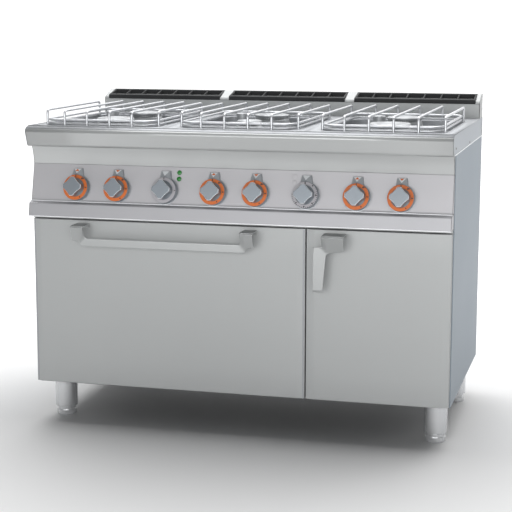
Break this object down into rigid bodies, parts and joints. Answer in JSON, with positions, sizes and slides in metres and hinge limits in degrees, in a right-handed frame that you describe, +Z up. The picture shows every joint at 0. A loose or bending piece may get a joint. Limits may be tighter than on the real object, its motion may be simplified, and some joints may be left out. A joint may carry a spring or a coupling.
{
  "type": "commercial gas range",
  "caption": "Free-standing gas range with open burners under wire pan supports, a drop-down oven door, a cupboard beside it, turning knobs and a low flue riser.",
  "frame": {"origin": "on the floor, under the middle of the whole object's box", "axes": "+X to the right as seen from the front, +Y towards the back, +Z up"},
  "size_m": [1.2, 0.727, 0.934],
  "materials": {
    "stainless": "brushed, satin",
    "bright_steel": "polished stainless",
    "burner_metal": "turned, satin",
    "cast_black": "black enamelled casting",
    "oven_enamel": "dark vitreous enamel",
    "element_sheath": "heat-darkened tube",
    "pipe_brass": "drawn",
    "seal_rubber": "matt black silicone",
    "lamp_green": "green lens",
    "knob_silver": "silver, with a coloured dial ring"
  },
  "bodies": {
    "cabinet": {"base_frame": "stainless", "side_panel_left": "stainless", "side_panel_right": "stainless", "back_panel": "stainless", "divider_panel": "stainless", "worktop": "stainless", "control_panel": "stainless", "lower_rail": "stainless", "flue_riser": "stainless", "oven_body": "oven_enamel", "oven_seal": "seal_rubber", "oven_shelf": "bright_steel", "oven_hinge": "bright_steel", "heating_element": "element_sheath", "gas_rail": "pipe_brass", "pilot_lamps": "lamp_green", "well_pan_1": "stainless", "well_pan_2": "stainless", "well_pan_3": "stainless", "burner_body_1": "burner_metal", "burner_body_2": "burner_metal", "burner_body_3": "burner_metal", "burner_body_4": "burner_metal", "burner_body_5": "burner_metal", "burner_body_6": "burner_metal"},
    "oven_door": {"oven_door_outer": "stainless", "oven_door_liner": "stainless", "oven_door_handle": "bright_steel"},
    "cupboard_door": {"cupboard_door_outer": "stainless", "cupboard_door_handle": "bright_steel"},
    "knob_1": {"knob_1": "knob_silver"},
    "valve_stem_1": {"valve_stem_1": "bright_steel"},
    "knob_2": {"knob_2": "knob_silver"},
    "valve_stem_2": {"valve_stem_2": "bright_steel"},
    "knob_3": {"knob_3": "knob_silver"},
    "knob_4": {"knob_4": "knob_silver"},
    "valve_stem_4": {"valve_stem_4": "bright_steel"},
    "knob_5": {"knob_5": "knob_silver"},
    "valve_stem_5": {"valve_stem_5": "bright_steel"},
    "knob_6": {"knob_6": "knob_silver"},
    "knob_7": {"knob_7": "knob_silver"},
    "valve_stem_7": {"valve_stem_7": "bright_steel"},
    "knob_8": {"knob_8": "knob_silver"},
    "valve_stem_8": {"valve_stem_8": "bright_steel"},
    "pan_support_1": {"pan_support_1": "bright_steel"},
    "flue_grille_1": {"flue_grille_1": "cast_black"},
    "pan_support_2": {"pan_support_2": "bright_steel"},
    "flue_grille_2": {"flue_grille_2": "cast_black"},
    "pan_support_3": {"pan_support_3": "bright_steel"},
    "flue_grille_3": {"flue_grille_3": "cast_black"},
    "burner_cap_1": {"burner_cap_1": "burner_metal"},
    "burner_cap_2": {"burner_cap_2": "burner_metal"},
    "burner_cap_3": {"burner_cap_3": "burner_metal"},
    "burner_cap_4": {"burner_cap_4": "burner_metal"},
    "burner_cap_5": {"burner_cap_5": "burner_metal"},
    "burner_cap_6": {"burner_cap_6": "burner_metal"},
    "foot_front_left": {"foot_front_left": "bright_steel"},
    "foot_front_right": {"foot_front_right": "bright_steel"},
    "foot_rear_left": {"foot_rear_left": "bright_steel"},
    "foot_rear_right": {"foot_rear_right": "bright_steel"}
  },
  "joints": [
    {"name": "oven_door_hinge", "type": "hinge", "parent": "cabinet", "child": "oven_door", "pos_m": [-0.2, -0.2815, 0.1185], "axis": [1, 0, 0], "range_deg": [0, 90]},
    {"name": "cupboard_door_hinge", "type": "hinge", "parent": "cabinet", "child": "cupboard_door", "pos_m": [0.597, -0.2843, 0.36], "axis": [0, 0, 1], "range_deg": [0, 90]},
    {"name": "gas_push_1", "type": "slide", "parent": "cabinet", "child": "valve_stem_1", "axis": [0, 0.9727, -0.2322], "range_m": [0, 0.002], "stiffness_N_per_m": 1500, "springref_m": -0.004},
    {"name": "knob_turn_1", "type": "hinge", "parent": "valve_stem_1", "child": "knob_1", "pos_m": [-0.46, -0.30249, 0.68836], "axis": [0, -0.9727, 0.2322], "range_deg": [0, 150]},
    {"name": "gas_push_2", "type": "slide", "parent": "cabinet", "child": "valve_stem_2", "axis": [0, 0.9727, -0.2322], "range_m": [0, 0.002], "stiffness_N_per_m": 1500, "springref_m": -0.004},
    {"name": "knob_turn_2", "type": "hinge", "parent": "valve_stem_2", "child": "knob_2", "pos_m": [-0.34, -0.30249, 0.68836], "axis": [0, -0.9727, 0.2322], "range_deg": [0, 150]},
    {"name": "knob_turn_3", "type": "hinge", "parent": "cabinet", "child": "knob_3", "pos_m": [-0.2, -0.30249, 0.68836], "axis": [0, -0.9727, 0.2322], "range_deg": [0, 270]},
    {"name": "gas_push_4", "type": "slide", "parent": "cabinet", "child": "valve_stem_4", "axis": [0, 0.9727, -0.2322], "range_m": [0, 0.002], "stiffness_N_per_m": 1500, "springref_m": -0.004},
    {"name": "knob_turn_4", "type": "hinge", "parent": "valve_stem_4", "child": "knob_4", "pos_m": [-0.06, -0.30249, 0.68836], "axis": [0, -0.9727, 0.2322], "range_deg": [0, 150]},
    {"name": "gas_push_5", "type": "slide", "parent": "cabinet", "child": "valve_stem_5", "axis": [0, 0.9727, -0.2322], "range_m": [0, 0.002], "stiffness_N_per_m": 1500, "springref_m": -0.004},
    {"name": "knob_turn_5", "type": "hinge", "parent": "valve_stem_5", "child": "knob_5", "pos_m": [0.06, -0.30249, 0.68836], "axis": [0, -0.9727, 0.2322], "range_deg": [0, 150]},
    {"name": "knob_turn_6", "type": "hinge", "parent": "cabinet", "child": "knob_6", "pos_m": [0.2, -0.30249, 0.68836], "axis": [0, -0.9727, 0.2322], "range_deg": [0, 270]},
    {"name": "gas_push_7", "type": "slide", "parent": "cabinet", "child": "valve_stem_7", "axis": [0, 0.9727, -0.2322], "range_m": [0, 0.002], "stiffness_N_per_m": 1500, "springref_m": -0.004},
    {"name": "knob_turn_7", "type": "hinge", "parent": "valve_stem_7", "child": "knob_7", "pos_m": [0.34, -0.30249, 0.68836], "axis": [0, -0.9727, 0.2322], "range_deg": [0, 150]},
    {"name": "gas_push_8", "type": "slide", "parent": "cabinet", "child": "valve_stem_8", "axis": [0, 0.9727, -0.2322], "range_m": [0, 0.002], "stiffness_N_per_m": 1500, "springref_m": -0.004},
    {"name": "knob_turn_8", "type": "hinge", "parent": "valve_stem_8", "child": "knob_8", "pos_m": [0.46, -0.30249, 0.68836], "axis": [0, -0.9727, 0.2322], "range_deg": [0, 150]},
    {"name": "pan_support_lift_1", "type": "slide", "parent": "cabinet", "child": "pan_support_1", "axis": [0, 0, 1], "range_m": [0, 0.1]},
    {"name": "flue_grille_lift_1", "type": "slide", "parent": "cabinet", "child": "flue_grille_1", "axis": [0, 0, 1], "range_m": [0, 0.05]},
    {"name": "pan_support_lift_2", "type": "slide", "parent": "cabinet", "child": "pan_support_2", "axis": [0, 0, 1], "range_m": [0, 0.1]},
    {"name": "flue_grille_lift_2", "type": "slide", "parent": "cabinet", "child": "flue_grille_2", "axis": [0, 0, 1], "range_m": [0, 0.05]},
    {"name": "pan_support_lift_3", "type": "slide", "parent": "cabinet", "child": "pan_support_3", "axis": [0, 0, 1], "range_m": [0, 0.1]},
    {"name": "flue_grille_lift_3", "type": "slide", "parent": "cabinet", "child": "flue_grille_3", "axis": [0, 0, 1], "range_m": [0, 0.05]},
    {"name": "burner_cap_lift_1", "type": "slide", "parent": "cabinet", "child": "burner_cap_1", "axis": [0, 0, 1], "range_m": [0, 0.015]},
    {"name": "burner_cap_lift_2", "type": "slide", "parent": "cabinet", "child": "burner_cap_2", "axis": [0, 0, 1], "range_m": [0, 0.015]},
    {"name": "burner_cap_lift_3", "type": "slide", "parent": "cabinet", "child": "burner_cap_3", "axis": [0, 0, 1], "range_m": [0, 0.015]},
    {"name": "burner_cap_lift_4", "type": "slide", "parent": "cabinet", "child": "burner_cap_4", "axis": [0, 0, 1], "range_m": [0, 0.015]},
    {"name": "burner_cap_lift_5", "type": "slide", "parent": "cabinet", "child": "burner_cap_5", "axis": [0, 0, 1], "range_m": [0, 0.015]},
    {"name": "burner_cap_lift_6", "type": "slide", "parent": "cabinet", "child": "burner_cap_6", "axis": [0, 0, 1], "range_m": [0, 0.015]},
    {"name": "foot_front_left_turn", "type": "hinge", "parent": "cabinet", "child": "foot_front_left", "pos_m": [-0.5505, -0.1989, 0], "axis": [0, 0, 1], "continuous": true},
    {"name": "foot_front_right_turn", "type": "hinge", "parent": "cabinet", "child": "foot_front_right", "pos_m": [0.5505, -0.1989, 0], "axis": [0, 0, 1], "continuous": true},
    {"name": "foot_rear_left_turn", "type": "hinge", "parent": "cabinet", "child": "foot_rear_left", "pos_m": [-0.5505, 0.2377, 0], "axis": [0, 0, 1], "continuous": true},
    {"name": "foot_rear_right_turn", "type": "hinge", "parent": "cabinet", "child": "foot_rear_right", "pos_m": [0.5505, 0.2377, 0], "axis": [0, 0, 1], "continuous": true}
  ]
}
